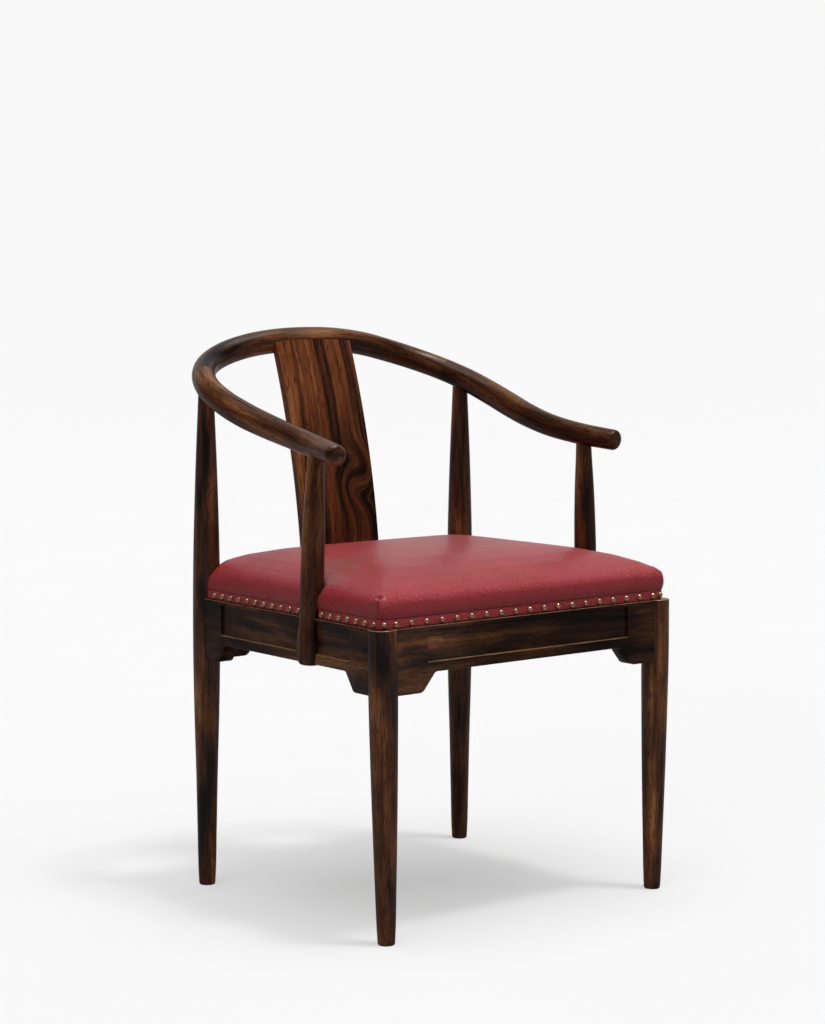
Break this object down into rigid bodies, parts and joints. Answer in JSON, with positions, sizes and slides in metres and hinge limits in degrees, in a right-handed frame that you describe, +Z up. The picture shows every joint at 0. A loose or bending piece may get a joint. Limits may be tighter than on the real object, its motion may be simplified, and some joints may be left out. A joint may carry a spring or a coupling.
{
  "type": "horseshoe back armchair",
  "caption": "Armchair with a horseshoe rail that makes back and arms, a raked splat, round tapered legs and a nailed leather seat.",
  "frame": {"origin": "on the floor, under the middle of the chair's width and depth", "axes": "+Z up, -Y towards the front of the seat, +X to the right as seen from the front"},
  "size_m": [0.517, 0.5128, 0.7649],
  "materials": {
    "rosewood": "satin oiled",
    "rosewood_figured": "satin oiled",
    "secondary_wood": "raw",
    "leather": "semi-matt, fine pebble grain",
    "brass": "aged",
    "steel": "dull",
    "webbing": "woven linen",
    "hessian": "woven jute",
    "stuffing": "curled hair and fibre"
  },
  "bodies": {
    "root": {"front_leg_left": "rosewood", "front_leg_right": "rosewood", "rear_leg_left": "rosewood", "rear_leg_right": "rosewood", "arm_post_left": "rosewood", "arm_post_right": "rosewood", "rail_back": "rosewood", "arm_left": "rosewood", "arm_right": "rosewood", "back_splat": "rosewood_figured", "front_apron": "rosewood", "rear_apron": "rosewood", "side_apron_left": "rosewood", "side_apron_right": "rosewood", "rail_joint_tongues": "secondary_wood", "corner_block_front_left": "secondary_wood", "corner_block_front_right": "secondary_wood", "corner_block_rear_left": "secondary_wood", "corner_block_rear_right": "secondary_wood", "corner_block_screws": "steel", "arm_post_screws": "steel", "webbing_cross": "webbing", "webbing_lengthwise": "webbing", "webbing_tacks": "steel", "seat_hessian": "hessian", "seat_stuffing": "stuffing", "seat_cover": "leather", "leather_band_front": "leather", "leather_band_left": "leather", "leather_band_right": "leather", "leather_band_rear": "leather", "nails_front": "brass", "nails_left": "brass", "nails_right": "brass", "nails_rear": "brass"}
  },
  "joints": []
}
